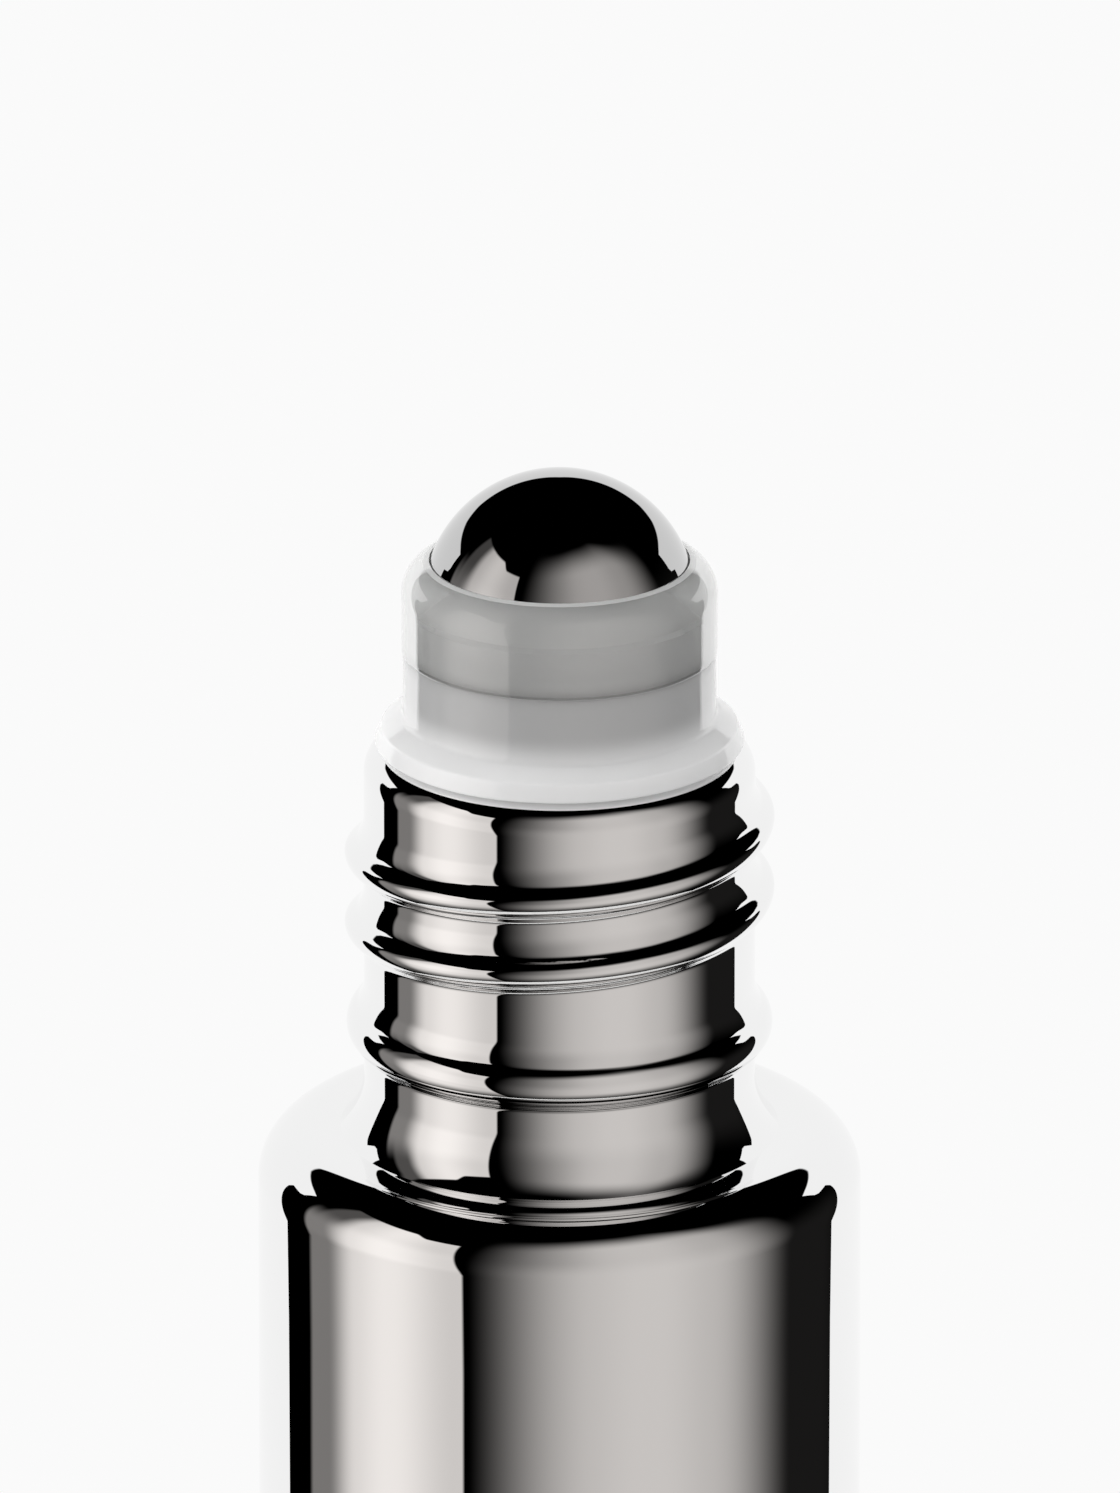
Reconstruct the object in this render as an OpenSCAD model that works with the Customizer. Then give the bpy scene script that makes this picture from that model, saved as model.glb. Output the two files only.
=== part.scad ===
// Roll-on bottle for perfume oil: a thick-walled glass bottle with a moulded
// screw neck, a mirror layer over its whole outside, and a press-in fitment
// that holds a steel ball. The base stands on z = 0 and the axis is Z.

/* [Glass bottle] */
// Height of the glass from its base to the lip of the neck
glass_h = 80; // [64:0.5:110]
// Diameter of the body over the mirror layer
body_d = 22; // [20.2:0.1:30]
// Height of the neck from the flat of the shoulder to the lip
neck_h = 14.8; // [14.4:0.1:18]
// Outer diameter of the neck between its beads
neck_d = 14.26; // [13.6:0.02:15.2]
// Corner radius where the shoulder turns down into the body
shoulder_r = 2; // [1:0.1:2.5]
// Corner radius where the body turns under at the heel
heel_r = 2.4; // [1:0.1:3]
// Radius of the bell-shaped foot where the neck spreads into the shoulder
neck_foot_r = 3; // [2.6:0.1:5]
// Height of the bell-shaped foot of the neck
neck_foot_h = 2.1; // [1.4:0.1:2.4]
// Rounding of the outer edge of the lip
lip_r = 0.6; // [0.2:0.05:0.7]
// Rounding of the inner edge of the lip
lip_inner_r = 0.4; // [0.1:0.05:0.6]
// Depth of the hollow under the base
punt_depth = 0.9; // [0.3:0.1:1.5]
// Diameter of the hollow under the base
punt_d = 15.6; // [10:0.1:16]
// Thickness of the mirror layer on the outside
coat_t = 0.1; // [0.05:0.01:0.15]
// Height of the clear glass edge left at the base
coat_edge = 0.2; // [0.16:0.01:0.4]

/* [Cavity] */
// Diameter of the cavity in the body
cavity_d = 12; // [11:0.1:14]
// Diameter of the bore through the neck
neck_bore_d = 9.4; // [9:0.02:9.8]
// Thickness of the glass under the cavity
base_t = 4; // [2.5:0.1:8]
// Thickness of the glass between the flat of the shoulder and the cavity
shoulder_t = 2.4; // [1.6:0.1:4]
// Radius where the cavity rounds in under the shoulder
cavity_top_r = 3; // [2:0.1:4]
// Corner radius at the bottom of the cavity
cavity_bottom_r = 3; // [1:0.1:4]
// Radius where the neck bore flares into the cavity
flare_r = 1.6; // [1.3:0.1:2]

/* [Neck thread] */
// Diameter over the crest of the thread
thread_d = 15.66; // [15.3:0.02:16]
// Rise of the thread in one turn
thread_pitch = 2.71; // [2.4:0.01:3.2]
// Radius of the rounded crest of the thread
thread_bead_r = 1.3; // [0.9:0.05:1.5]
// Depth of the first crest under the lip, on the +X side
thread_start = 2.82; // [2.5:0.01:3.2]
// Turns of thread at full height
thread_turns = 1.6; // [1:0.1:1.8]
// Diameter over the stop ring under the thread
ring_d = 15.54; // [15:0.02:16.4]
// Radius of the rounded crest of the stop ring
ring_bead_r = 1.13; // [0.8:0.01:1.4]
// Depth of the stop ring under the lip
ring_drop = 10.76; // [10.3:0.01:11.5]

/* [Ball] */
// Diameter of the steel ball
ball_d = 10; // [8:0.1:10.4]
// Running gap between the ball and its seat and lip
ball_clear = 0.05; // [0.03:0.01:0.1]

/* [Ball collar] */
// Wall thickness of the clear collar
collar_wall = 0.55; // [0.4:0.01:0.8]
// Gap between the ball and the upright wall of the collar
collar_gap = 0.21; // [0.15:0.01:0.4]
// Height of the gripping edge above the centre of the ball
grip_h = 1.74; // [1.2:0.02:2.2]
// Rounding of the top of the collar
collar_round_r = 1.3; // [0.8:0.05:1.4]

/* [Roller plug] */
// Depth of the seam between plug and collar under the centre of the ball
seam_drop = 1.66; // [1:0.02:2.4]
// How far the collar stands out past the plug at the seam
seam_step = 0.06; // [0:0.01:0.15]
// Height of the spigot that centres the collar
spigot_h = 0.5; // [0.3:0.05:0.8]
// Gap between the spigot and the collar around it
spigot_clear = 0.02; // [0.01:0.01:0.05]
// Thickness of plastic between the lowest point of the seat and the lip
seat_floor_t = 0.26; // [0.2:0.02:1]
// Diameter of the feed hole at the bottom of the seat
feed_d = 3.6; // [2:0.1:4.4]
// Height of the upright edge of the flange
flange_h = 0.75; // [0.5:0.05:1]
// Rise of the sloped top of the flange
flange_rise = 0.3; // [0.1:0.02:0.6]
// How far the flange stays inside the outer wall of the neck
flange_inset = 0.41; // [0.2:0.01:0.6]
// Narrowing of the flange from its foot to its upper edge
flange_taper = 0.2; // [0:0.02:0.4]
// Length of the skirt inside the neck
skirt_h = 7; // [5:0.1:9]
// Wall thickness of the skirt
skirt_wall = 0.7; // [0.5:0.05:0.9]
// Gap between the sealing ribs and the bore of the neck
rib_clear = 0.05; // [0.02:0.01:0.1]
// How far the sealing ribs stand out from the skirt
rib_h = 0.16; // [0.05:0.01:0.3]
// Number of sealing ribs
rib_count = 3; // [1:1:4]
// Thickness of the plug's floor over the skirt
plug_floor_t = 1.2; // [0.8:0.1:2]

/* [Hidden] */

// Smoothness of round outlines
$fn = 96;
// How far every cut runs past the face that it opens
overrun = lip_r;

// Outlines of the glass
body_r = body_d / 2;
neck_r = neck_d / 2;
shoulder_z = glass_h - neck_h;
punt_r = (pow(punt_d / 2, 2) + pow(punt_depth, 2)) / (2 * punt_depth);

// Outlines of the cavity
cavity_r = cavity_d / 2;
neck_bore_r = neck_bore_d / 2;
lip_edge_r = neck_bore_r + lip_inner_r;
cavity_top_z = shoulder_z - shoulder_t - cavity_top_r;
cavity_arc = [cavity_r - cavity_top_r, cavity_top_z];
flare_reach = neck_bore_r + flare_r - cavity_arc[0];
flare_rise = sqrt(pow(cavity_top_r + flare_r, 2) - pow(flare_reach, 2));
flare_arc = [neck_bore_r + flare_r, cavity_top_z + flare_rise];

// Thread helix, with angle 0 on +X and negative angles lower down
thread_r = thread_d / 2;
thread_height = thread_r - neck_r;
thread_step_deg = 10;
thread_fade_deg = 50;
thread_lead_deg = 20;
thread_end_deg = thread_lead_deg - 360 * thread_turns;
thread_sides = 8;
thread_root = thread_bead_r / 3;

// Ball, collar and plug
ball_r = ball_d / 2;
seat_r = ball_r + ball_clear;
ball_z = glass_h + seat_floor_t + seat_r;
seam_z = ball_z - seam_drop;
collar_bore_r = ball_r + collar_gap;
collar_r = collar_bore_r + collar_wall;
collar_open_r = sqrt(pow(seat_r, 2) - pow(grip_h, 2));
collar_crown_r = collar_r - collar_round_r;
collar_crown_z = ball_z + grip_h - sqrt(pow(collar_round_r, 2) - pow(collar_open_r - collar_crown_r, 2));
plug_r = collar_r - seam_step;
spigot_r = collar_bore_r - spigot_clear;
flange_foot_r = neck_r - flange_inset;
flange_top_r = flange_foot_r - flange_taper;
plug_fillet_r = flange_rise;
rib_r = neck_bore_r - rib_clear;
skirt_r = rib_r - rib_h;
skirt_bore_r = skirt_r - skirt_wall;
skirt_end_z = glass_h - skirt_h;
skirt_bevel = rib_h;
rib_pitch = (skirt_h - 2 * skirt_bevel) / (rib_count + 1);

// Half section of a round block with its upper edge rounded
module round_top(radius, bottom_z, top_z, round_r) {
    translate([0, bottom_z])
        square([radius, top_z - round_r - bottom_z]);
    translate([0, bottom_z])
        square([radius - round_r, top_z - bottom_z]);
    translate([radius - round_r, top_z - round_r])
        circle(r = round_r);
}

// Half section of a round block with its lower edge rounded
module round_bottom(radius, bottom_z, top_z, round_r) {
    translate([0, bottom_z + round_r])
        square([radius, top_z - bottom_z - round_r]);
    translate([0, bottom_z])
        square([radius - round_r, top_z - bottom_z]);
    translate([radius - round_r, bottom_z + round_r])
        circle(r = round_r);
}

// Filled inner corner of radius size at [radius, z], opening outward and up
module inner_fillet(radius, z, size) {
    difference() {
        translate([radius - size, z - size])
            square([2 * size, 2 * size]);
        translate([radius + size, z + size])
            circle(r = size);
    }
}

// Bell-shaped foot of the neck, inset by the given amount
module neck_foot(inset) {
    corner_r = neck_foot_r + inset;
    foot_w = corner_r - sqrt(pow(corner_r, 2) - pow(neck_foot_h + inset, 2));
    difference() {
        translate([0, shoulder_z - shoulder_r])
            square([neck_r - inset + foot_w, shoulder_r + neck_foot_h]);
        translate([neck_r + neck_foot_r, shoulder_z + neck_foot_h])
            circle(r = corner_r);
    }
}

// Outline of the bottle, inset by the given amount, without the thread
module glass_outline(inset) {
    round_bottom(body_r - inset, inset, shoulder_z / 2, heel_r - inset);
    round_top(body_r - inset, shoulder_z / 2, shoulder_z - inset, shoulder_r - inset);
    round_top(neck_r - inset, shoulder_z / 2, glass_h - inset, lip_r - inset);
    neck_foot(inset);
    translate([ring_d / 2 - ring_bead_r, glass_h - ring_drop])
        circle(r = ring_bead_r - inset);
}

// Reach of the mirror layer, from over the base to the inner edge of the lip
module coat_reach() {
    translate([lip_edge_r, coat_edge])
        square([2 * body_r, glass_h]);
}

// Outline of the cavity and the bore of the neck
module cavity_outline() {
    difference() {
        union() {
            round_bottom(cavity_r, base_t, cavity_top_z, cavity_bottom_r);
            translate(cavity_arc)
                circle(r = cavity_top_r);
            polygon([[0, cavity_top_z], cavity_arc, flare_arc, [0, flare_arc[1]]]);
        }
        translate(flare_arc)
            circle(r = flare_r);
    }
    translate([0, cavity_top_z])
        square([neck_bore_r, glass_h + overrun - cavity_top_z]);
}

// Rounds the inner edge of the lip
module inner_lip_cut() {
    difference() {
        translate([0, glass_h - lip_inner_r])
            square([lip_edge_r, lip_inner_r + overrun]);
        translate([lip_edge_r, glass_h - lip_inner_r])
            circle(r = lip_inner_r);
    }
}

// Keeps a half section on the positive side of the axis
module half_plane() {
    translate([0, -2 * punt_r])
        square([2 * body_r, glass_h + 2 * ball_d + 2 * punt_r]);
}

// Ring of points across the thread at one angle, sunk and inset by the given amounts
function thread_ring(angle, sink, inset) =
    let (
        bead_r = thread_bead_r - inset,
        centre_r = thread_r - thread_bead_r - sink,
        centre_z = glass_h - thread_start + thread_pitch * angle / 360,
        half_arc = acos((neck_r - thread_root - thread_r + thread_bead_r) / bead_r)
    )
    [for (side = [0 : thread_sides])
        let (
            across = half_arc * (2 * side / thread_sides - 1),
            radius = centre_r + bead_r * cos(across)
        )
        [radius * cos(angle), radius * sin(angle), centre_z + bead_r * sin(across)]
    ];
// Sink of the thread where it runs out into the neck at either end
function thread_sink(angle) =
    let (past = max(angle - thread_lead_deg, thread_end_deg - angle, 0))
    thread_height * (1 - cos(90 * min(past / thread_fade_deg, 1))) * 1.2;

// Helical bead swept along the neck, rooted inside the wall
module thread_bead(inset) {
    first = thread_end_deg - thread_fade_deg;
    last = thread_lead_deg + thread_fade_deg;
    steps = ceil((last - first) / thread_step_deg);
    rings = [for (i = [0 : steps])
        let (angle = first + (last - first) * i / steps)
        thread_ring(angle, thread_sink(angle), inset)
    ];
    count = thread_sides + 1;
    points = [for (ring = rings) for (point = ring) point];
    sides = [for (i = [0 : steps - 1], j = [0 : count - 1])
        let (a = i * count + j, b = i * count + (j + 1) % count)
        each [[a, b, b + count], [a, b + count, a + count]]
    ];
    start_cap = [for (j = [1 : count - 2]) [0, j + 1, j]];
    end_cap = [for (j = [1 : count - 2]) [steps * count, steps * count + j, steps * count + j + 1]];
    polyhedron(points = points, faces = concat(sides, start_cap, end_cap), convexity = 6);
}

// Glass: revolved outline less the cavity, with the thread fused to the neck
module glass_bottle() {
    color([0.86, 0.9, 0.9, 0.35])
        union() {
            rotate_extrude()
                intersection() {
                    difference() {
                        union() {
                            glass_outline(coat_t);
                            difference() {
                                glass_outline(0);
                                coat_reach();
                            }
                        }
                        cavity_outline();
                        inner_lip_cut();
                        translate([0, punt_depth - punt_r])
                            circle(r = punt_r);
                    }
                    half_plane();
                }
            thread_bead(coat_t);
        }
}

// Mirror layer over the outside of the glass, thread and stop ring included
module mirror_coating() {
    color([0.62, 0.62, 0.62])
        difference() {
            union() {
                rotate_extrude()
                    intersection() {
                        glass_outline(0);
                        coat_reach();
                    }
                thread_bead(0);
            }
            union() {
                rotate_extrude()
                    glass_outline(coat_t);
                thread_bead(coat_t);
            }
        }
}

// Skirt with its sealing ribs and a bevelled leading end
module skirt_outline() {
    polygon([
        [0, skirt_end_z],
        [skirt_r - skirt_bevel, skirt_end_z],
        [skirt_r, skirt_end_z + 2 * skirt_bevel],
        [skirt_r, glass_h],
        [0, glass_h]
    ]);
    for (i = [1 : rib_count])
        translate([rib_r - 2 * rib_h, skirt_end_z + 2 * skirt_bevel + rib_pitch * i])
            circle(r = 2 * rib_h);
}

// Outline of the plug before the ball seat and the feed bore are cut
module plug_outline() {
    flange_crown_z = glass_h + flange_h + flange_rise;
    polygon([
        [0, glass_h],
        [flange_foot_r, glass_h],
        [flange_top_r, glass_h + flange_h],
        [plug_r, flange_crown_z],
        [0, flange_crown_z]
    ]);
    translate([0, glass_h])
        square([plug_r, seam_z - glass_h]);
    inner_fillet(plug_r, flange_crown_z, plug_fillet_r);
    translate([0, seam_z])
        square([spigot_r, spigot_h]);
    skirt_outline();
}

// Plug: flange on the lip, ball seat above it and ribbed skirt in the neck
module roller_plug() {
    color([0.9, 0.9, 0.88])
        rotate_extrude()
            intersection() {
                difference() {
                    plug_outline();
                    translate([0, ball_z])
                        circle(r = seat_r);
                    translate([0, glass_h - plug_floor_t - overrun])
                        square([feed_d / 2, plug_floor_t + seat_floor_t + seat_r + overrun]);
                    translate([0, skirt_end_z - overrun])
                        square([skirt_bore_r, skirt_h - plug_floor_t + overrun]);
                }
                half_plane();
            }
}

// Clear collar that grips the ball just above its centre
module ball_collar() {
    color([0.85, 0.88, 0.9, 0.5])
        rotate_extrude()
            intersection() {
                difference() {
                    union() {
                        translate([0, seam_z])
                            square([collar_r, collar_crown_z - seam_z]);
                        translate([0, seam_z])
                            square([collar_crown_r, ball_z + grip_h - seam_z]);
                        translate([collar_crown_r, collar_crown_z])
                            circle(r = collar_round_r);
                    }
                    translate([0, ball_z])
                        circle(r = seat_r);
                    translate([0, seam_z - overrun])
                        square([collar_bore_r, ball_z - seam_z + overrun]);
                    translate([0, ball_z])
                        square([collar_open_r, grip_h + overrun]);
                }
                half_plane();
            }
}

// Steel ball
module roller_ball() {
    color([0.62, 0.63, 0.64])
        translate([0, 0, ball_z])
            sphere(r = ball_r);
}

glass_bottle();
mirror_coating();
roller_plug();
ball_collar();
roller_ball();
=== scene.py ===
# %% [markdown]
# A roll-on bottle for perfume oil, built on its fixed construction model.
# The real object is a thick glass bottle whose whole outside carries bright
# metal. A milky plug sits on the lip and a hazy collar holds a steel ball.
# Almost everything the eye sees is a reflection, so the pieces have to be
# true in section, closed, and very smooth.

# %% Load the frame
import math

import bpy
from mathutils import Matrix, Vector


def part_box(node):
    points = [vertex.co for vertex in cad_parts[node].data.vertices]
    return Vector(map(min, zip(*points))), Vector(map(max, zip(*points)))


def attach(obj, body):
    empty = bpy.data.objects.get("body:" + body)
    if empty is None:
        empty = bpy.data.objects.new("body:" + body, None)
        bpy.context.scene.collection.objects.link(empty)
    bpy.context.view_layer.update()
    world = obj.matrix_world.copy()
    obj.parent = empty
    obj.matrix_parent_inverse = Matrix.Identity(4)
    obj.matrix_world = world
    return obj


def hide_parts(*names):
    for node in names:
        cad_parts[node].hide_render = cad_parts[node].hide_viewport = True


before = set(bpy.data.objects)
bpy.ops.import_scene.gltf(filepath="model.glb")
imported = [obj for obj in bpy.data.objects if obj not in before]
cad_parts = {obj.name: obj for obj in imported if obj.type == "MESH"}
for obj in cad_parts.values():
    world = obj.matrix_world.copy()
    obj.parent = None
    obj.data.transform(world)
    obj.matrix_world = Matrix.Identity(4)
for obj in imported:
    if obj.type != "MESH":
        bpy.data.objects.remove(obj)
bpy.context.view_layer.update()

MM = 0.001

# %% [markdown]
# The driving sizes come from the frame wherever a node's box gives them.
# Each later cell repeats what else it needs of the construction's own
# sizes. All of them are in millimetres.

# %% Sizes that the frame gives
coat_low, coat_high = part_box("mirror_coating")
plug_low, plug_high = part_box("roller_plug")
collar_low, collar_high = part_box("ball_collar")
ball_low, ball_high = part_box("roller_ball")

lip_z = coat_high.z / MM
body_r = coat_high.x / MM
coat_low_z = coat_low.z / MM
flange_r = plug_high.x / MM
skirt_end_z = plug_low.z / MM
spigot_top_z = plug_high.z / MM
collar_r = collar_high.x / MM
seam_z = collar_low.z / MM
ball_r = ball_high.x / MM
ball_z = (ball_low.z + ball_high.z) / 2 / MM
print("lip, body radius, ball centre, ball radius:", lip_z, body_r, ball_z, ball_r)

# %% [markdown]
# The camera looks from the photograph's side, 20 degrees above the level,
# through a very long lens, because the photograph has next to no
# perspective. The photograph cuts off the lower end of the bottle, and so
# does this view. The body's width in pixels sets the scale, and the ball's
# centre sets the place.

# %% Camera
PHOTO_W, PHOTO_H = 1120, 1493
BALL_PIXEL = (559.5, 604.5)
BODY_WIDTH_PIXELS = 606
CAMERA_ELEVATION = 20
LENS_MM = 900
SENSOR_MM = 36
CLIP_NEAR, CLIP_FAR = 0.05, 20

pixel = 2 * body_r * MM / BODY_WIDTH_PIXELS
tilt = math.radians(CAMERA_ELEVATION)
back = Vector((0, -math.cos(tilt), math.sin(tilt)))
up = Vector((0, math.sin(tilt), math.cos(tilt)))
right = Vector((1, 0, 0))
aim = Vector((0, 0, ball_z * MM))
aim += right * (PHOTO_W / 2 - BALL_PIXEL[0]) * pixel
aim -= up * (PHOTO_H / 2 - BALL_PIXEL[1]) * pixel
camera_distance = PHOTO_H * pixel * LENS_MM / SENSOR_MM

bpy.ops.object.camera_add(location=aim + back * camera_distance)
camera = bpy.context.object
camera.name = "photo_camera"
camera.rotation_mode = "QUATERNION"
camera.rotation_quaternion = (-back).to_track_quat("-Z", "Y")
camera.data.lens = LENS_MM
camera.data.sensor_width = SENSOR_MM
camera.data.clip_start = CLIP_NEAR
camera.data.clip_end = CLIP_FAR
bpy.context.scene.camera = camera
bpy.context.scene.view_settings.view_transform = "Standard"
print("camera distance in m:", round(camera_distance, 3))

# %% [markdown]
# Every piece here is round. A maker would draw half of the section and turn
# it on a lathe, so the section is drawn first: a closed loop of points, each
# a radius and a height, with its rounded stretches as arcs.


# %% Points along a section
def arc(centre, radius, start, end, steps):
    """Points of an arc in the half section, with angles in degrees."""
    points = []
    for i in range(steps + 1):
        angle = math.radians(start + (end - start) * i / steps)
        points.append((centre[0] + radius * math.cos(angle), centre[1] + radius * math.sin(angle)))
    return points


def line(start, end, steps):
    """Points of a straight stretch, without its two ends."""
    return [
        (start[0] + (end[0] - start[0]) * i / steps, start[1] + (end[1] - start[1]) * i / steps)
        for i in range(1, steps)
    ]


# %% [markdown]
# Then comes the lathe. A circle with as many vertices as the section has
# points is laid onto the section and spun a full turn about the Z axis. A
# stack of scaled cylinders would also work, but a spun section keeps every
# fillet in one surface. The last row of the spin meets the first, so the two
# are merged, and so are the rings of vertices that lie on the axis.

# %% Turning a section
TURN_STEPS = 256
WELD = 0.001


def turn(name, section, smooth_angle=35):
    """Spins a closed section, in millimetres, a full turn into a closed body."""
    bpy.ops.object.select_all(action="DESELECT")
    bpy.ops.mesh.primitive_circle_add(vertices=len(section), radius=MM, location=(0, 0, 0))
    piece = bpy.context.object
    piece.name = piece.data.name = name
    for vertex, (radius, z) in zip(piece.data.vertices, section):
        vertex.co = (radius * MM, 0, z * MM)
    bpy.ops.object.mode_set(mode="EDIT")
    bpy.ops.mesh.select_all(action="SELECT")
    bpy.ops.mesh.spin(steps=TURN_STEPS, angle=math.tau, center=(0, 0, 0), axis=(0, 0, 1))
    bpy.ops.mesh.select_all(action="SELECT")
    bpy.ops.mesh.remove_doubles(threshold=WELD * MM)
    bpy.ops.mesh.delete_loose(use_verts=True, use_edges=True, use_faces=False)
    bpy.ops.mesh.select_all(action="SELECT")
    bpy.ops.mesh.normals_make_consistent(inside=False)
    bpy.ops.object.mode_set(mode="OBJECT")
    bpy.ops.object.shade_smooth_by_angle(angle=math.radians(smooth_angle))
    print(name, "has", len(piece.data.polygons), "faces")
    return piece


# %% [markdown]
# The bottle is one moulded piece of glass, and its whole outside carries a
# layer of bright metal. Both take the same outline: the glass stops one
# layer short of it. The section runs from the base ring round the heel, up
# the plain body, over the shoulder, up the bell-shaped foot of the neck and
# over the lip, where the plug hides its end.

# %% Outline of the bottle
heel_r = 2.4
shoulder_r = 2.0
neck_h = 14.8
neck_r = 7.13
neck_foot_r = 3
neck_foot_h = 2.1
lip_r = 1.1
lip_inner_r = 0.4
neck_bore_r = 4.7
shoulder_z = lip_z - neck_h
lip_edge_r = neck_bore_r + lip_inner_r


def outline(inset, neck_rows, detail):
    """Outline from the heel to the inner edge of the lip, inset into the glass."""
    heel_start = -math.degrees(math.asin((heel_r - coat_low_z) / (heel_r - inset)))
    wall = body_r - inset
    neck = neck_r - inset
    points = arc((body_r - heel_r, heel_r), heel_r - inset, heel_start, 0, 6 * detail)
    points += line((wall, heel_r), (wall, shoulder_z - shoulder_r), 8 * detail)
    points += arc((body_r - shoulder_r, shoulder_z - shoulder_r), shoulder_r - inset, 0, 90, 12 * detail)
    foot_start = -180 + math.degrees(math.asin((neck_foot_h + inset) / (neck_foot_r + inset)))
    points += arc((neck_r + neck_foot_r, shoulder_z + neck_foot_h), neck_foot_r + inset,
                  foot_start, -180, 10 * detail)
    points += line((neck, shoulder_z + neck_foot_h), (neck, lip_z - lip_r), neck_rows)
    points += arc((neck_r - lip_r, lip_z - lip_r), lip_r - inset, 0, 90, 6 * detail)
    points.append((lip_edge_r, lip_z - inset))
    return points


# %% [markdown]
# The neck carries a right-hand thread and a stop ring. In the mirror they
# show as a wall that swells slowly, a dark steep flank, a narrow bright
# crest and fine lines underneath. So each flank is a run of tangent arcs:
# a small crest, a straight slope, a knee, and a wide root above but a tight
# one below.

# %% Flanks of the beads
ARC_ROWS = 12
thread_height = 0.70
ring_height = 0.64


def add_arc(rows, radius, start, end, side):
    """Adds an arc to a flank, from one tilt to another, in degrees."""
    x, y = rows[-1]
    first = math.radians(start)
    for i in range(1, ARC_ROWS + 1):
        angle = math.radians(start + (end - start) * i / ARC_ROWS)
        across = side * radius * (math.sin(angle) - math.sin(first))
        rows.append((x + across, y - side * radius * (math.cos(first) - math.cos(angle))))


def flank(height, crest_r, slope, knee_r, knee_end, root_r):
    """Distance and height along one flank: crest arc, straight, knee arc, root arc."""
    rows = [(0, height)]
    add_arc(rows, crest_r, 0, slope, 1)
    straight_h = rows[-1][1]
    straight_h -= knee_r * (math.cos(math.radians(knee_end)) - math.cos(math.radians(slope)))
    straight_h -= root_r * (1 - math.cos(math.radians(knee_end)))
    straight_h = max(straight_h, WELD)
    rows.append((rows[-1][0] + straight_h / math.tan(math.radians(slope)), rows[-1][1] - straight_h))
    add_arc(rows, knee_r, slope, knee_end, -1)
    add_arc(rows, root_r, knee_end, 0, -1)
    return rows


def height_on(rows, distance):
    """Height of a flank at a distance from its crest, between its rows."""
    if distance >= rows[-1][0]:
        return 0
    for (near, high), (far, low) in zip(rows, rows[1:]):
        if near <= distance < far:
            return high + (low - high) * (distance - near) / (far - near)
    return rows[0][1]


THREAD_UPPER = flank(thread_height, crest_r=0.36, slope=52, knee_r=0.4, knee_end=28, root_r=1.7)
THREAD_LOWER = flank(thread_height, crest_r=0.65, slope=56, knee_r=0.3, knee_end=28, root_r=0.3)
RING_UPPER = flank(ring_height, crest_r=0.9, slope=50, knee_r=0.4, knee_end=28, root_r=1.7)
RING_LOWER = flank(ring_height, crest_r=0.8, slope=56, knee_r=0.3, knee_end=28, root_r=0.3)
print("thread flanks reach", round(THREAD_UPPER[-1][0], 2), "up and", round(THREAD_LOWER[-1][0], 2), "down")

# %% [markdown]
# The thread winds 1.6 turns and runs out smoothly at both ends, and the
# ring goes level round the neck below it. They could be swept and joined
# with a boolean, but that leaves a crease at the root. Here each vertex of
# the straight neck wall slides outwards by the height of the bead at its
# place, and where the two beads meet, the taller one counts.

# %% Neck thread and stop ring
thread_pitch = 2.71
thread_start = 2.81
thread_turns = 1.6
thread_lead_deg = 20
thread_fade_deg = 50
ring_drop = 10.76


def thread_fade(angle):
    """How much of the thread's height is left where it runs out."""
    end = thread_lead_deg - 360 * thread_turns
    past = min(max(angle - thread_lead_deg, end - angle, 0) / thread_fade_deg, 1)
    return (1 + math.cos(math.pi * past)) / 2


def neck_height(angle, z):
    """Height of thread and ring over the neck wall."""
    offset = z - (lip_z - ring_drop)
    tallest = height_on(RING_UPPER if offset > 0 else RING_LOWER, abs(offset))
    for winding in range(-2, 2):
        along = angle + 360 * winding
        offset = z - (lip_z - thread_start + thread_pitch * along / 360)
        if abs(offset) < thread_pitch:
            rows = THREAD_UPPER if offset > 0 else THREAD_LOWER
            tallest = max(tallest, height_on(rows, abs(offset)) * thread_fade(along))
    return tallest


def raise_beads(piece, wall_r):
    """Pushes the vertices of a straight neck wall out to the beads."""
    raised = 0
    for vertex in piece.data.vertices:
        x, y, z = (value / MM for value in vertex.co)
        radius = math.hypot(x, y)
        if abs(radius - wall_r) < WELD and shoulder_z + neck_foot_h < z < lip_z - lip_r:
            grow = 1 + neck_height(math.degrees(math.atan2(y, x)), z) / radius
            vertex.co.x *= grow
            vertex.co.y *= grow
            raised += 1
    print(piece.name, "has", raised, "vertices on the neck wall")


# %% [markdown]
# The metal is a thin closed shell. On the real bottle it is far thinner
# than this, and the construction gives it a thickness that can be handled.
# Its outside is what shows, so it gets many more rows than its inside.

# %% Mirror layer on the outside
coat_t = 0.1
NECK_ROWS = 190
HIDDEN_ROWS = 60
mirror_skin = turn("mirror_skin", outline(0, NECK_ROWS, 2) + outline(coat_t, HIDDEN_ROWS, 1)[::-1])
raise_beads(mirror_skin, neck_r)
raise_beads(mirror_skin, neck_r - coat_t)

# %% [markdown]
# The glass inside has a base ring with a hollow, a lip with a rounded inner
# edge, and a cavity that narrows through a flare into the bore of the neck.
# The flare is two arcs that meet on one slope: the cavity's round top, and
# the round edge where the bore opens into it.

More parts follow.
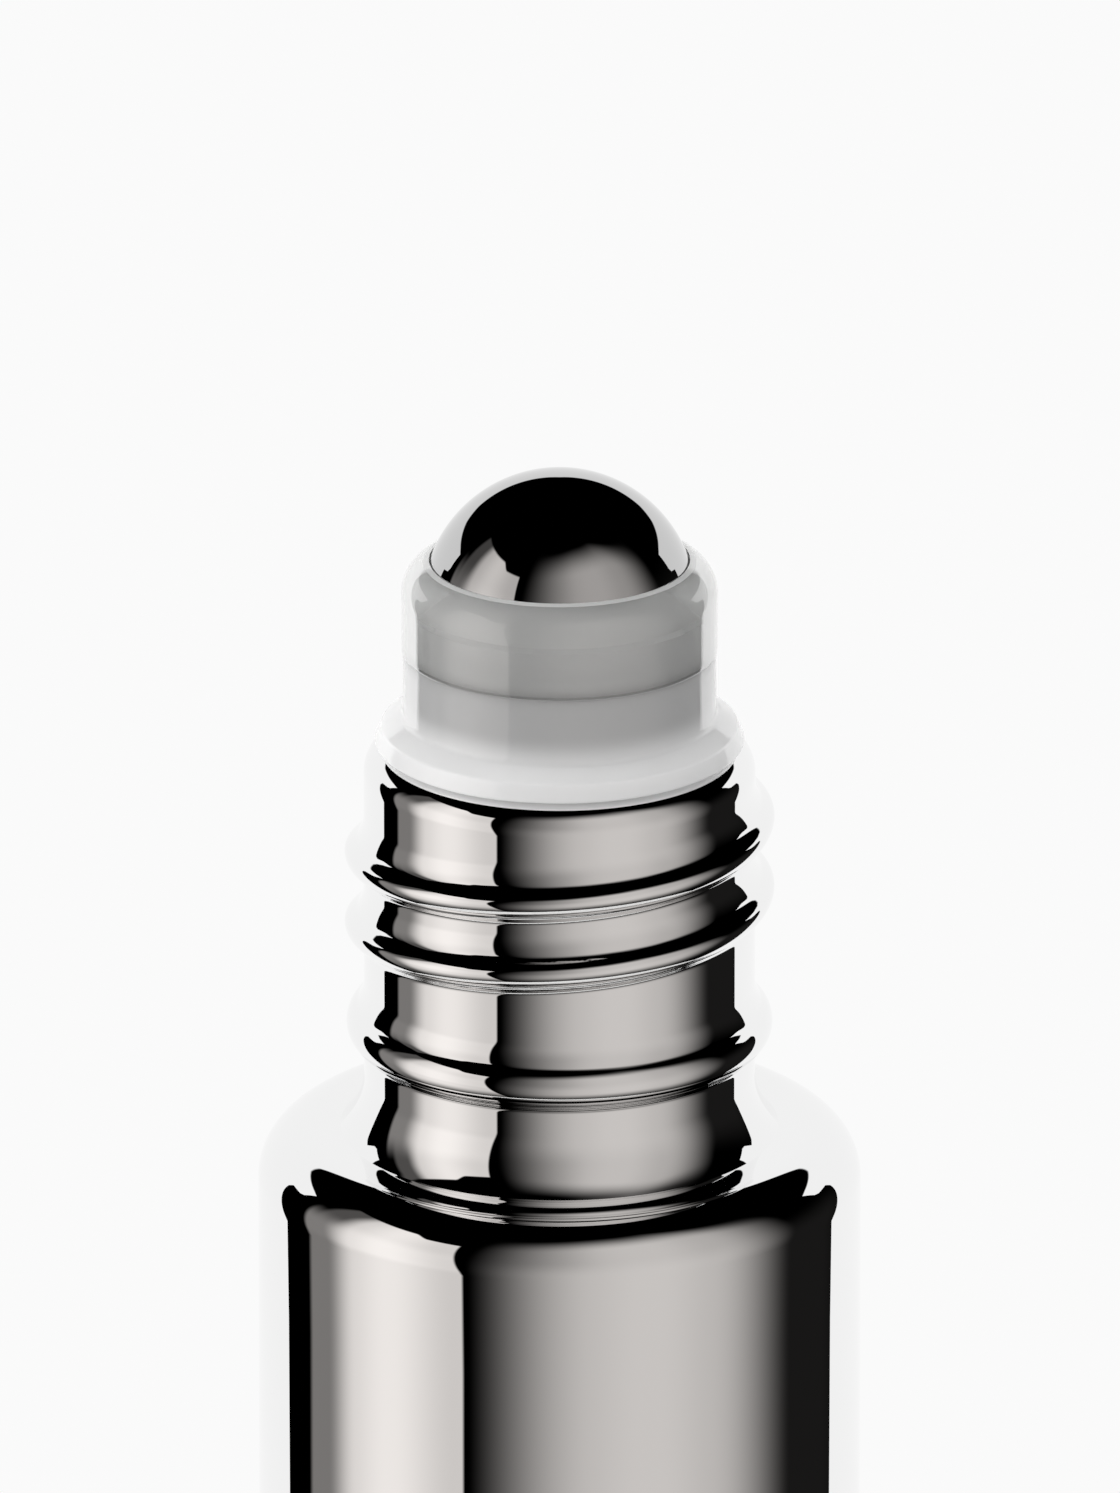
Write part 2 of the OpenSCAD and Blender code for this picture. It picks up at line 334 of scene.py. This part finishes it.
# %% Hollows of the glass
punt_depth = 0.9
punt_edge_r = 7.8
base_t = 4.0
shoulder_t = 2.4
cavity_r = 6.0
cavity_top_r = 3.0
cavity_bottom_r = 3.0
flare_r = 1.6
punt_r = (punt_edge_r ** 2 + punt_depth ** 2) / (2 * punt_depth)
punt_angle = math.degrees(math.acos(punt_edge_r / punt_r))
cavity_arc = (cavity_r - cavity_top_r, shoulder_z - shoulder_t - cavity_top_r)
flare_reach = neck_bore_r + flare_r - cavity_arc[0]
flare_rise = math.sqrt((cavity_top_r + flare_r) ** 2 - flare_reach ** 2)
flare_arc = (neck_bore_r + flare_r, cavity_arc[1] + flare_rise)
flare_slope = math.degrees(math.atan2(flare_rise, flare_reach))
floor_arc = (cavity_r - cavity_bottom_r, base_t + cavity_bottom_r)
print("bore starts at", round(flare_arc[1], 2), "mm, and the flare slopes by", round(flare_slope), "degrees")

# %% [markdown]
# The section of the glass is one loop: from the middle of the base over the
# base ring, up the outside, over the lip, and back down the bore and the
# cavity to the middle. A hair of air keeps it from touching the metal.

# %% Glass
GLASS_GAP = 0.01
coat_end_angle = -math.degrees(math.asin((heel_r - coat_low_z) / heel_r))
glass_section = arc((0, punt_depth - punt_r), punt_r, 90, punt_angle, 10)
glass_section += arc((body_r - heel_r, heel_r), heel_r, -90, coat_end_angle, 4)
glass_section += outline(coat_t + GLASS_GAP, HIDDEN_ROWS, 1)
glass_section += arc((lip_edge_r, lip_z - lip_inner_r), lip_inner_r, 95, 180, 6)
glass_section += arc(flare_arc, flare_r, 180, 180 + flare_slope, 12)
glass_section += arc(cavity_arc, cavity_top_r, flare_slope, 0, 12)
glass_section += arc(floor_arc, cavity_bottom_r, 0, -90, 12)
glass_section.append((0, base_t))
glass_body = turn("glass_body", glass_section)
raise_beads(glass_body, neck_r - coat_t - GLASS_GAP)

# %% [markdown]
# The plug is pressed into the neck. Its flange rests on the lip, a fillet
# leads up into its short upright wall, and a spigot centres the collar.
# The ball's seat is a hollow sphere, with a feed hole at its lowest point
# and a ribbed skirt below.

# %% Sizes of the plug
seat_clear = 0.05
bore_clear = 0.21
feed_r = 1.8
flange_h = 0.75
flange_rise = 0.3
flange_taper = 0.2
flange_edge_r = 0.16
skirt_wall = 0.7
rib_clear = 0.05
rib_h = 0.16
rib_count = 3
plug_floor_t = 1.2
plug_step = 0.06
plug_lift = 0.01
seam_edge = 0.04
spigot_edge = 0.03
spigot_wall_gap = 0.02
seat_r = ball_r + seat_clear
collar_bore_r = ball_r + bore_clear
plug_r = collar_r - plug_step
rib_r = neck_bore_r - rib_clear
skirt_r = rib_r - rib_h
skirt_bore_r = skirt_r - skirt_wall
spigot_r = collar_bore_r - spigot_wall_gap
rib_pitch = (lip_z - skirt_end_z - 2 * rib_h) / (rib_count + 1)
foot_z = lip_z + plug_lift
floor_z = lip_z - plug_floor_t
crown_z = lip_z + flange_h + flange_rise
flange_top_r = flange_r - flange_taper
feed_top_z = ball_z - math.sqrt(seat_r ** 2 - feed_r ** 2)
print("skirt", round(2 * skirt_r, 2), "mm across, ribs", round(rib_pitch, 2), "mm apart")

# %% [markdown]
# The plug's section starts at the feed hole, goes down inside the skirt and
# up its ribs, round the flange, up the wall to the collar's seam, over the
# spigot and back down along the seat.


# %% Plug
def seat_angle(z):
    """Angle of a height on the seat sphere, in degrees."""
    return math.degrees(math.asin((z - ball_z) / seat_r))


plug_section = [(feed_r, floor_z), (skirt_bore_r, floor_z), (skirt_bore_r, skirt_end_z)]
plug_section += [(skirt_r - rib_h, skirt_end_z), (skirt_r, skirt_end_z + 2 * rib_h)]
for rib in range(1, rib_count + 1):
    rib_z = skirt_end_z + 2 * rib_h + rib_pitch * rib
    plug_section += arc((rib_r - 2 * rib_h, rib_z), 2 * rib_h, -60, 60, 8)
plug_section += [(skirt_r, lip_z - rib_h), (skirt_r, foot_z)]
plug_section += arc((flange_r - flange_edge_r, foot_z + flange_edge_r), flange_edge_r, -90, 0, 5)
plug_section += arc((flange_top_r - flange_edge_r, lip_z + flange_h - flange_edge_r),
                    flange_edge_r, 0, 75, 6)
plug_section += arc((plug_r + flange_rise, crown_z + flange_rise), flange_rise, -110, -180, 8)
plug_section += [(plug_r, seam_z - seam_edge), (plug_r - seam_edge, seam_z), (spigot_r, seam_z)]
plug_section += [(spigot_r, spigot_top_z - spigot_edge), (spigot_r - spigot_edge, spigot_top_z)]
plug_section += arc((0, ball_z), seat_r, seat_angle(spigot_top_z), seat_angle(feed_top_z), 28)
plug_section.append((feed_r, floor_z))
milky_plug = turn("milky_plug", plug_section, 40)

# %% [markdown]
# The collar is a clear ring whose rounded top closes in just above the
# centre of the ball. Its section is a loop: up the outside, over the
# crown, and down along the ball and the upright bore.

# %% Collar
grip_h = 1.74
collar_round_r = 1.3
edge_round_r = 0.05
mouth_edge = 0.04
open_r = math.sqrt(seat_r ** 2 - grip_h ** 2)
crown_x = collar_r - collar_round_r
crown_arc_z = ball_z + grip_h - math.sqrt(collar_round_r ** 2 - (open_r - crown_x) ** 2)
crown_end = math.degrees(math.acos((open_r + edge_round_r - crown_x) / collar_round_r))
collar_section = [(collar_bore_r, seam_z), (collar_r - edge_round_r, seam_z)]
collar_section += arc((collar_r - edge_round_r, seam_z + edge_round_r), edge_round_r, -60, 0, 4)
collar_section += line((collar_r, seam_z), (collar_r, crown_arc_z), 8)
collar_section += arc((crown_x, crown_arc_z), collar_round_r, 0, crown_end, 20)
collar_section += [(open_r, ball_z + grip_h)]
collar_section += arc((0, ball_z), seat_r, seat_angle(ball_z + grip_h - mouth_edge), 2, 16)
collar_section += [(collar_bore_r, ball_z), (collar_bore_r, seam_z)]
clear_collar = turn("clear_collar", collar_section, 40)

# %% [markdown]
# The ball is lapped steel. A globe of rings and segments has two poles that
# pinch a reflection, so the ball starts as a cube, is cut into small squares
# and then blown up to a sphere, which has no poles.

# %% Ball
BALL_CUTS = 63
bpy.ops.object.select_all(action="DESELECT")
bpy.ops.mesh.primitive_cube_add(size=2 * ball_r * MM, location=(0, 0, 0))
steel_ball = bpy.context.object
steel_ball.name = steel_ball.data.name = "steel_ball"
bpy.ops.object.mode_set(mode="EDIT")
bpy.ops.mesh.select_all(action="SELECT")
bpy.ops.mesh.subdivide(number_cuts=BALL_CUTS)
bpy.ops.transform.tosphere(value=1)
bpy.ops.object.mode_set(mode="OBJECT")
for vertex in steel_ball.data.vertices:
    vertex.co = vertex.co.normalized() * ball_r * MM
    vertex.co.z += ball_z * MM
bpy.ops.object.shade_smooth()
print("ball diameter in mm:", round(2 * ball_r, 3))

# %% [markdown]
# Each finish is a small node tree on object coordinates. One helper makes
# the principled shader, and another lays a noise bump on it, because no
# real surface is quite even.


# %% Material helpers
def finish_for(name, **sockets):
    """New material whose principled shader has the given socket values."""
    material = bpy.data.materials.new(name)
    material.use_nodes = True
    shader = material.node_tree.nodes["Principled BSDF"]
    for socket, value in sockets.items():
        shader.inputs[socket.replace("_", " ")].default_value = value
    return material, shader


def add_node(material, kind, **values):
    """New node in a material, with its unlinked inputs set."""
    node = material.node_tree.nodes.new(kind)
    for key, value in values.items():
        node.inputs[key].default_value = value
    return node


def add_unevenness(material, shader, scale, depth):
    """Noise on object coordinates as a bump of a true depth in millimetres."""
    place = add_node(material, "ShaderNodeTexCoord")
    noise = add_node(material, "ShaderNodeTexNoise", Scale=scale, Detail=2)
    bump = add_node(material, "ShaderNodeBump", Strength=1, Distance=depth * MM)
    join = material.node_tree.links.new
    join(place.outputs["Object"], noise.inputs["Vector"])
    join(noise.outputs["Fac"], bump.inputs["Height"])
    join(bump.outputs["Normal"], shader.inputs["Normal"])
    print(material.name, "is uneven by up to", depth, "mm")


# %% [markdown]
# The glass carries the metal, so it is seen only at the base and, with the
# plug out, inside the mouth. It is clear, with the slight waves of moulding.

# %% Glass finish
glass_finish, glass_shader = finish_for(
    "clear_glass", Base_Color=(0.985, 0.992, 0.99, 1), Roughness=0, IOR=1.5, Transmission_Weight=1)
add_unevenness(glass_finish, glass_shader, 260, 0.004)

# %% [markdown]
# The metal is a clean mirror. A very weak noise keeps its reflections from
# being ruler straight. More of it would break the fine lines on the thread.

# %% Mirror finish
mirror_finish, mirror_shader = finish_for(
    "dark_mirror", Base_Color=(0.9, 0.9, 0.9, 1), Metallic=1, Roughness=0.01)
add_unevenness(mirror_finish, mirror_shader, 180, 0.0004)

# %% [markdown]
# The steel of the ball gives back less light than the metal of the bottle,
# so it is darker, and its lapping leaves a finer grain.

# %% Steel finish
steel_finish, steel_shader = finish_for(
    "polished_steel", Base_Color=(0.57, 0.57, 0.57, 1), Metallic=1, Roughness=0.01)
add_unevenness(steel_finish, steel_shader, 900, 0.0004)

# %% [markdown]
# The plastics change over their surface, and that takes arithmetic in
# nodes. These helpers let it be written like sums: each takes sockets or
# numbers and returns the socket of its result.


# %% Node helpers
def work_in(node_tree):
    """Makes the helpers below build their nodes in this tree."""
    global tree, link
    tree = node_tree
    link = tree.links.new


def math_node(operation, *values):
    """Math node fed by sockets or numbers."""
    node = tree.nodes.new("ShaderNodeMath")
    node.operation = operation
    for socket, value in zip(node.inputs, values):
        if isinstance(value, (int, float)):
            socket.default_value = value
        else:
            link(value, socket)
    return node.outputs[0]


def mix_level(low, high, factor):
    """Moves from the low value to the high value by a factor."""
    return math_node("ADD", math_node("MULTIPLY", low, math_node("SUBTRACT", 1, factor)),
                     math_node("MULTIPLY", high, factor))


def fade(value, start, end):
    """0 at start, 1 at end, smooth between. The start may be past the end."""
    node = tree.nodes.new("ShaderNodeMapRange")
    node.interpolation_type = "SMOOTHSTEP"
    node.inputs["From Min"].default_value = start
    node.inputs["From Max"].default_value = end
    link(value, node.inputs["Value"])
    return node.outputs["Result"]


def place_xyz():
    """The three object coordinates, as sockets."""
    place = tree.nodes.new("ShaderNodeTexCoord")
    parts = tree.nodes.new("ShaderNodeSeparateXYZ")
    link(place.outputs["Object"], parts.inputs["Vector"])
    return parts.outputs


def distance_of(*parts):
    """Distance from the origin of up to three coordinate sockets."""
    joined = tree.nodes.new("ShaderNodeCombineXYZ")
    for socket, part in zip(joined.inputs, parts):
        link(part, socket)
    length = tree.nodes.new("ShaderNodeVectorMath")
    length.operation = "LENGTH"
    link(joined.outputs["Vector"], length.inputs[0])
    return length.outputs["Value"]


RIM_FADE = (0.585, 0.61)


def rim_of_view():
    """Smooth step from 0 to 1 where a surface turns away from the eye."""
    weight = tree.nodes.new("ShaderNodeLayerWeight")
    weight.inputs["Blend"].default_value = 0.5
    return fade(weight.outputs["Facing"], *RIM_FADE)


# %% [markdown]
# The collar is clear outside and frosted where it meets the ball and the spigot, so it looks grey in the
# middle. Its white rims are painted light: where the surface turns away from the eye, the shader lets less
# light through and shows more of its white base colour. This stands in for the pale room shining through the
# full thickness of the ring. Distance from the ball's axis, or above its centre from the centre itself,
# tells the bore from the outside.

# %% Clear plastic finish
FROST_ROUGHNESS, FROST_HAZE = 0.55, 0.55
# The clear and frost levels are the plastic's own haze. The rim level paints a white rim of light where the
# surface turns away from the eye.
CLEAR_ROUGHNESS, CLEAR_HAZE, RIM_PAINTED_LIGHT = 0.03, 0.18, 0.65
BORE_FROST = ((collar_bore_r + 0.03) * MM, (collar_bore_r + 0.005) * MM)
SEAM_FROST = ((seam_z + 0.03) * MM, (seam_z + 0.01) * MM)
clear_finish, clear_shader = finish_for(
    "clear_plastic", Base_Color=(0.96, 0.965, 0.96, 1), IOR=1.49,
    Coat_Weight=1, Coat_Roughness=0.03, Coat_IOR=1.6)
add_unevenness(clear_finish, clear_shader, 300, 0.003)
work_in(clear_finish.node_tree)
place_x, place_y, place_z = place_xyz()
above_ball = math_node("MAXIMUM", math_node("SUBTRACT", place_z, ball_z * MM), 0)
bore_distance = distance_of(place_x, place_y, above_ball)
frosted = math_node("MAXIMUM", fade(bore_distance, *BORE_FROST), fade(place_z, *SEAM_FROST))
link(mix_level(CLEAR_ROUGHNESS, FROST_ROUGHNESS, frosted), clear_shader.inputs["Roughness"])
# Painted light: towards the rims of view less light passes through, so the white base colour shows as a
# bright rim.
frost_haze_and_painted_rim_light = math_node("MAXIMUM", math_node("MULTIPLY", frosted, FROST_HAZE),
                 mix_level(CLEAR_HAZE, RIM_PAINTED_LIGHT, rim_of_view()))
link(math_node("SUBTRACT", 1, frost_haze_and_painted_rim_light), clear_shader.inputs["Transmission Weight"])
print("clear plastic nodes:", len(tree.nodes))

# %% [markdown]
# The plug is milky: light enters it and scatters. Its thin upper wall lets the dark ball through as grey,
# and its thick flange stays white. A real volume would do that by itself but is slow and grainy, so the
# shader has subsurface scattering, and height tells it how much shines through. Height also paints the base
# colour. The upper wall is grey as painted shade of the dark ball, and the flange is white. The rims where
# the surface turns away from the eye are white again, as a painted rim of light.

# %% Milky plastic finish
FLANGE_FADE = ((crown_z + 1.2) * MM, (crown_z - 0.3) * MM)
# Base colour levels: the wall's grey level is painted shade of the dark ball, and the white level is also
# used to paint the rims of light.
WALL_WHITE_PAINTED_SHADE, FLANGE_AND_PAINTED_RIM_WHITE = 0.6, 0.96
WALL_TRANSMISSION = 0.25
milky_finish, milky_shader = finish_for(
    "natural_plastic", Roughness=0.45, IOR=1.5, Coat_Weight=1, Coat_Roughness=0.03,
    Coat_IOR=1.6, Subsurface_Weight=1, Subsurface_Radius=(1, 1, 1), Subsurface_Scale=MM)
add_unevenness(milky_finish, milky_shader, 400, 0.003)
work_in(milky_finish.node_tree)
in_flange = fade(place_xyz()["Z"], *FLANGE_FADE)
# Painted shade and light in the base colour: grey on the upper wall for the shade of the dark ball behind
# it, white in the flange and at the rims where the surface turns away from the eye.
flange_and_painted_rim_mask = math_node("MAXIMUM", in_flange, rim_of_view())
milk_with_painted_shade_and_rim = mix_level(WALL_WHITE_PAINTED_SHADE, FLANGE_AND_PAINTED_RIM_WHITE, flange_and_painted_rim_mask)
link(mix_level(WALL_TRANSMISSION, 0, in_flange), milky_shader.inputs["Transmission Weight"])
milk_colour_with_painted_light = tree.nodes.new("ShaderNodeCombineColor")
for socket in milk_colour_with_painted_light.inputs[:3]:
    link(milk_with_painted_shade_and_rim, socket)
link(milk_colour_with_painted_light.outputs["Color"], milky_shader.inputs["Base Color"])
print("milky plastic nodes:", len(tree.nodes))

# %% [markdown]
# Each piece takes its finish, says which construction node it stands for,
# and rides on that node's body.


# %% Dress the pieces
def dress(piece, finish, node, body):
    """Gives a piece its finish, hides the node it replaces and sets it on the body it rides on."""
    piece.data.materials.clear()
    piece.data.materials.append(finish)
    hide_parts(node)
    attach(piece, body)
    print(piece.name, "stands for", node, "and rides on", body)


dress(mirror_skin, mirror_finish, "mirror_coating", "bottle")
dress(glass_body, glass_finish, "glass_bottle", "bottle")
dress(milky_plug, milky_finish, "roller_plug", "fitment")
dress(clear_collar, clear_finish, "ball_collar", "fitment")
dress(steel_ball, steel_finish, "roller_ball", "roller")

# %% [markdown]
# The studio. A polished object shows its surroundings, so they are drawn on
# the world by direction. Area lamps could do the same, but their edges and
# falloff are harder to place. An azimuth of 0 degrees is towards the
# camera, and the right-hand side is positive.

# %% Directions in the world
world = bpy.data.worlds.new("studio")
bpy.context.scene.world = world
world.use_nodes = True
work_in(world.node_tree)
tree.nodes.clear()
direction = tree.nodes.new("ShaderNodeTexCoord").outputs["Generated"]
split = tree.nodes.new("ShaderNodeSeparateXYZ")
link(direction, split.inputs["Vector"])
towards_camera = math_node("MULTIPLY", split.outputs["Y"], -1)
azimuth = math_node("DEGREES", math_node("ARCTAN2", split.outputs["X"], towards_camera))
elevation = math_node("DEGREES", math_node("ARCSINE", split.outputs["Z"]))


def profile(value, stops):
    """Level at a value from -180 to 180, read between (value, level) stops."""
    node = tree.nodes.new("ShaderNodeValToRGB")
    ramp = node.color_ramp
    ramp.interpolation = "LINEAR"
    while len(ramp.elements) < len(stops):
        ramp.elements.new(1)
    for element, (place, level) in zip(ramp.elements, stops):
        element.position = (place + 180) / 360
        element.color = (level, level, level, 1)
    link(math_node("MULTIPLY_ADD", value, 1 / 360, 0.5), node.inputs["Fac"])
    return node.outputs["Color"]


def ramps(value, rows):
    """Sum of smooth ramps. Each row has a start, an end and a rise."""
    level = 0
    for start, end, rise in rows:
        level = math_node("MULTIPLY_ADD", fade(value, start, end), rise, level)
    return level


print("world nodes so far:", len(tree.nodes))

# %% [markdown]
# On the left stands a tall softbox. It is brightest near its middle, its
# left side dies away in steps behind the bottle, and its right side is one
# hard edge that leans a little. That edge makes the sharp line down the
# body. Its top is hard too, and slopes. Each list holds smooth ramps over
# the azimuth, with a start, an end and a rise in level: the first list is
# for the softbox low down and the second for it high up.

# %% Left softbox
LEFT_LOW = [(-112, -109, 0.2), (-100, -85, 0.55), (-90, -70, 0.17), (-68, -40, -0.26)]
LEFT_HIGH = [(-107, -103, 0.08), (-96, -86, 0.6), (-92, -70, 0.25), (-70, -46, -0.23)]
LEFT_HIGH_FADE = (2, 26)
LEFT_MIDDLE_GAIN = 1.11
LEFT_MIDDLE_RISE, LEFT_MIDDLE_FALL = (-19, -10), (24, 8)
LEFT_EDGE_AZIMUTH, LEFT_EDGE_LEAN, LEFT_EDGE_BLUR = -39.3, -0.097, 0.7
LEFT_TOP, LEFT_TOP_INNER, LEFT_TOP_BLUR = 42, 37, 0.8
LEFT_TOP_STEP = (-68, -58)

high_up = fade(elevation, *LEFT_HIGH_FADE)
left_level = mix_level(ramps(azimuth, LEFT_LOW), ramps(azimuth, LEFT_HIGH), high_up)
left_middle = math_node("MULTIPLY", fade(elevation, *LEFT_MIDDLE_RISE), fade(elevation, *LEFT_MIDDLE_FALL))
left_level = math_node("MULTIPLY", left_level, mix_level(1, LEFT_MIDDLE_GAIN, left_middle))
left_edge = math_node("ADD", math_node("MULTIPLY", elevation, LEFT_EDGE_LEAN), LEFT_EDGE_AZIMUTH)
left_side = fade(math_node("SUBTRACT", azimuth, left_edge), LEFT_EDGE_BLUR, -LEFT_EDGE_BLUR)
left_top = mix_level(LEFT_TOP, LEFT_TOP_INNER, fade(azimuth, *LEFT_TOP_STEP))
under_top = fade(math_node("SUBTRACT", elevation, left_top), LEFT_TOP_BLUR, -LEFT_TOP_BLUR)
left_box = math_node("MULTIPLY", math_node("MULTIPLY", left_level, left_side), under_top)
print("brightest of the left softbox:", round(sum(rise for start, end, rise in LEFT_HIGH if rise > 0), 2))

# %% [markdown]
# In front on the right stands a broad softbox that is soft on every side,
# so it shows as the wide grey glow on the body and on the ball. Its top
# comes down towards both ends, by the degrees that the third list gives.
# Both softboxes end below.

# %% Right softbox
RIGHT_LOW = [(-36, 12, 0.53), (0, 32, 0.1), (38, 66, -0.1), (60, 100, -0.52), (120, 140, -0.01)]
RIGHT_HIGH = [(-36, 20, 0.48), (0, 32, 0.1), (38, 66, -0.12), (62, 98, -0.46)]
RIGHT_TOP_LOSS = [(-40, 30, -6), (52, 98, 18)]
RIGHT_HIGH_FADE = (-12, 20)
RIGHT_TOP_FADE = (61, 36)
BOX_BOTTOM_FADE = (-56, -22)

high_up = fade(elevation, *RIGHT_HIGH_FADE)
right_level = mix_level(ramps(azimuth, RIGHT_LOW), ramps(azimuth, RIGHT_HIGH), high_up)
under_top = fade(math_node("ADD", elevation, ramps(azimuth, RIGHT_TOP_LOSS)), *RIGHT_TOP_FADE)
right_box = math_node("MULTIPLY", right_level, under_top)
box_bottom = fade(elevation, *BOX_BOTTOM_FADE)
studio_level = math_node("ADD", math_node("MULTIPLY", left_box, box_bottom),
                         math_node("MULTIPLY", right_box, box_bottom))
print("brightest of the right softbox:", round(sum(rise for start, end, rise in RIGHT_LOW if rise > 0), 2))

# %% [markdown]
# What a ray sees depends on what it is for. The camera sees plain white
# behind the bottle. Light that has been scattered by a matt surface meets
# the pale room, which is brighter on the left and behind. All other rays
# meet the softboxes, which are a little warm.

# %% Room and backdrop
WHITE = 0.957
ROOM_BRIGHT, ROOM_DIM = 1.25, 0.65
DIM_SIDE_RISE, DIM_SIDE_FALL = (-40, -10), (130, 80)
WARM = (1, 0.955, 0.925, 1)
NEUTRAL = (1, 1, 1, 1)

path = tree.nodes.new("ShaderNodeLightPath")
dim_side = math_node("MULTIPLY", fade(azimuth, *DIM_SIDE_RISE), fade(azimuth, *DIM_SIDE_FALL))
after_diffuse = math_node("MINIMUM", path.outputs["Diffuse Depth"], 1)
lit_level = mix_level(studio_level, mix_level(ROOM_BRIGHT, ROOM_DIM, dim_side), after_diffuse)
seen_level = mix_level(lit_level, WHITE, path.outputs["Is Camera Ray"])
colourless = math_node("MAXIMUM", after_diffuse, path.outputs["Is Camera Ray"])
warmth = tree.nodes.new("ShaderNodeMix")
warmth.data_type = "RGBA"
warmth.inputs["A"].default_value = WARM
warmth.inputs["B"].default_value = NEUTRAL
background = tree.nodes.new("ShaderNodeBackground")
output = tree.nodes.new("ShaderNodeOutputWorld")
link(colourless, warmth.inputs["Factor"])
link(seen_level, background.inputs["Strength"])
link(warmth.outputs["Result"], background.inputs["Color"])
link(background.outputs["Background"], output.inputs["Surface"])
print("world nodes:", len(tree.nodes))

# %% [markdown]
# The floor is a pale matt disc under the bottle. It is small enough that
# the polished wall never mirrors its edge in the photograph's view. The
# camera sees it turn white towards its edge, where it runs into the
# background.

# %% Floor
FLOOR_R = 0.06
FLOOR_SIDES = 96
FLOOR_FADE = (0.25 * FLOOR_R, 0.97 * FLOOR_R)
bpy.ops.object.select_all(action="DESELECT")
bpy.ops.mesh.primitive_circle_add(vertices=FLOOR_SIDES, radius=FLOOR_R, fill_type="NGON",
                                  location=(0, 0, 0))
floor = bpy.context.object
floor.name = "pale_floor"
floor_finish, floor_shader = finish_for("pale_floor", Base_Color=(0.86, 0.86, 0.855, 1), Roughness=0.7)
add_unevenness(floor_finish, floor_shader, 900, 0.02)
work_in(floor_finish.node_tree)
place = place_xyz()
seen_by_camera = tree.nodes.new("ShaderNodeLightPath").outputs["Is Camera Ray"]
towards_edge = fade(distance_of(place["X"], place["Y"]), *FLOOR_FADE)
backdrop = add_node(floor_finish, "ShaderNodeEmission", Strength=WHITE)
blend = tree.nodes.new("ShaderNodeMixShader")
link(math_node("MULTIPLY", towards_edge, seen_by_camera), blend.inputs[0])
link(floor_shader.outputs["BSDF"], blend.inputs[1])
link(backdrop.outputs["Emission"], blend.inputs[2])
link(blend.outputs["Shader"], tree.nodes["Material Output"].inputs["Surface"])
floor.data.materials.append(floor_finish)
print("floor diameter in m:", 2 * FLOOR_R)

# %% [markdown]
# A white wall stands behind the bottle. The camera looks through it, and
# only the reflections show it: as the pale rims of the metal and the pale
# ring round the dark top of the ball. Its sides lean with height, and each
# row below gives half its width, its distance behind and its height.

# %% White wall behind
WALL_ROWS = [(44, 20, -0.3), (98, 60, -0.3), (91, 60, 32), (87, 60, 84), (90, 60, 93),
             (112, 60, 99), (121, 60, 106), (128, 60, 132)]
bpy.ops.object.select_all(action="DESELECT")
bpy.ops.mesh.primitive_grid_add(x_subdivisions=1, y_subdivisions=len(WALL_ROWS) - 1, size=2 * MM,
                                location=(0, 0, 0))
wall = bpy.context.object
wall.name = "white_wall"
corners = sorted(wall.data.vertices, key=lambda v: (round(v.co.y, 6), v.co.x))
for i, (half_width, y, z) in enumerate(WALL_ROWS):
    corners[2 * i].co = (-half_width * MM, y * MM, z * MM)
    corners[2 * i + 1].co = (half_width * MM, y * MM, z * MM)
wall.visible_camera = False
print("wall height in mm:", WALL_ROWS[-1][2])

# %% [markdown]
# The wall's top edge dips on either side of the middle, as the ball shows
# it. A cut in the mesh could do that, but a glow that ends softly at a
# curve gives the edge its blur as well. The curve is read off a ramp as a
# share of the span, because a ramp holds levels from 0 to 1.

# %% Glow of the wall
WALL_TOP = [(0, 118.5), (22, 112.5), (35, 109.5), (50, 111), (104, 126.5), (128, 132)]
WALL_SPAN = 200
WALL_BLUR = 0.004
WALL_GLOW = 0.96
wall_finish = bpy.data.materials.new("white_wall")
wall_finish.use_nodes = True
work_in(wall_finish.node_tree)
tree.nodes.remove(tree.nodes["Principled BSDF"])
place = place_xyz()
sideways = math_node("DIVIDE", math_node("ABSOLUTE", place["X"]), MM)
top_share = profile(sideways, [(x, z / WALL_SPAN) for x, z in WALL_TOP])
over_top = math_node("SUBTRACT", math_node("DIVIDE", place["Z"], WALL_SPAN * MM), top_share)
wall_light = tree.nodes.new("ShaderNodeEmission")
link(math_node("MULTIPLY", fade(over_top, WALL_BLUR, -WALL_BLUR), WALL_GLOW), wall_light.inputs["Strength"])
link(wall_light.outputs["Emission"], tree.nodes["Material Output"].inputs["Surface"])
wall.data.materials.append(wall_finish)
print("wall nodes:", len(tree.nodes))
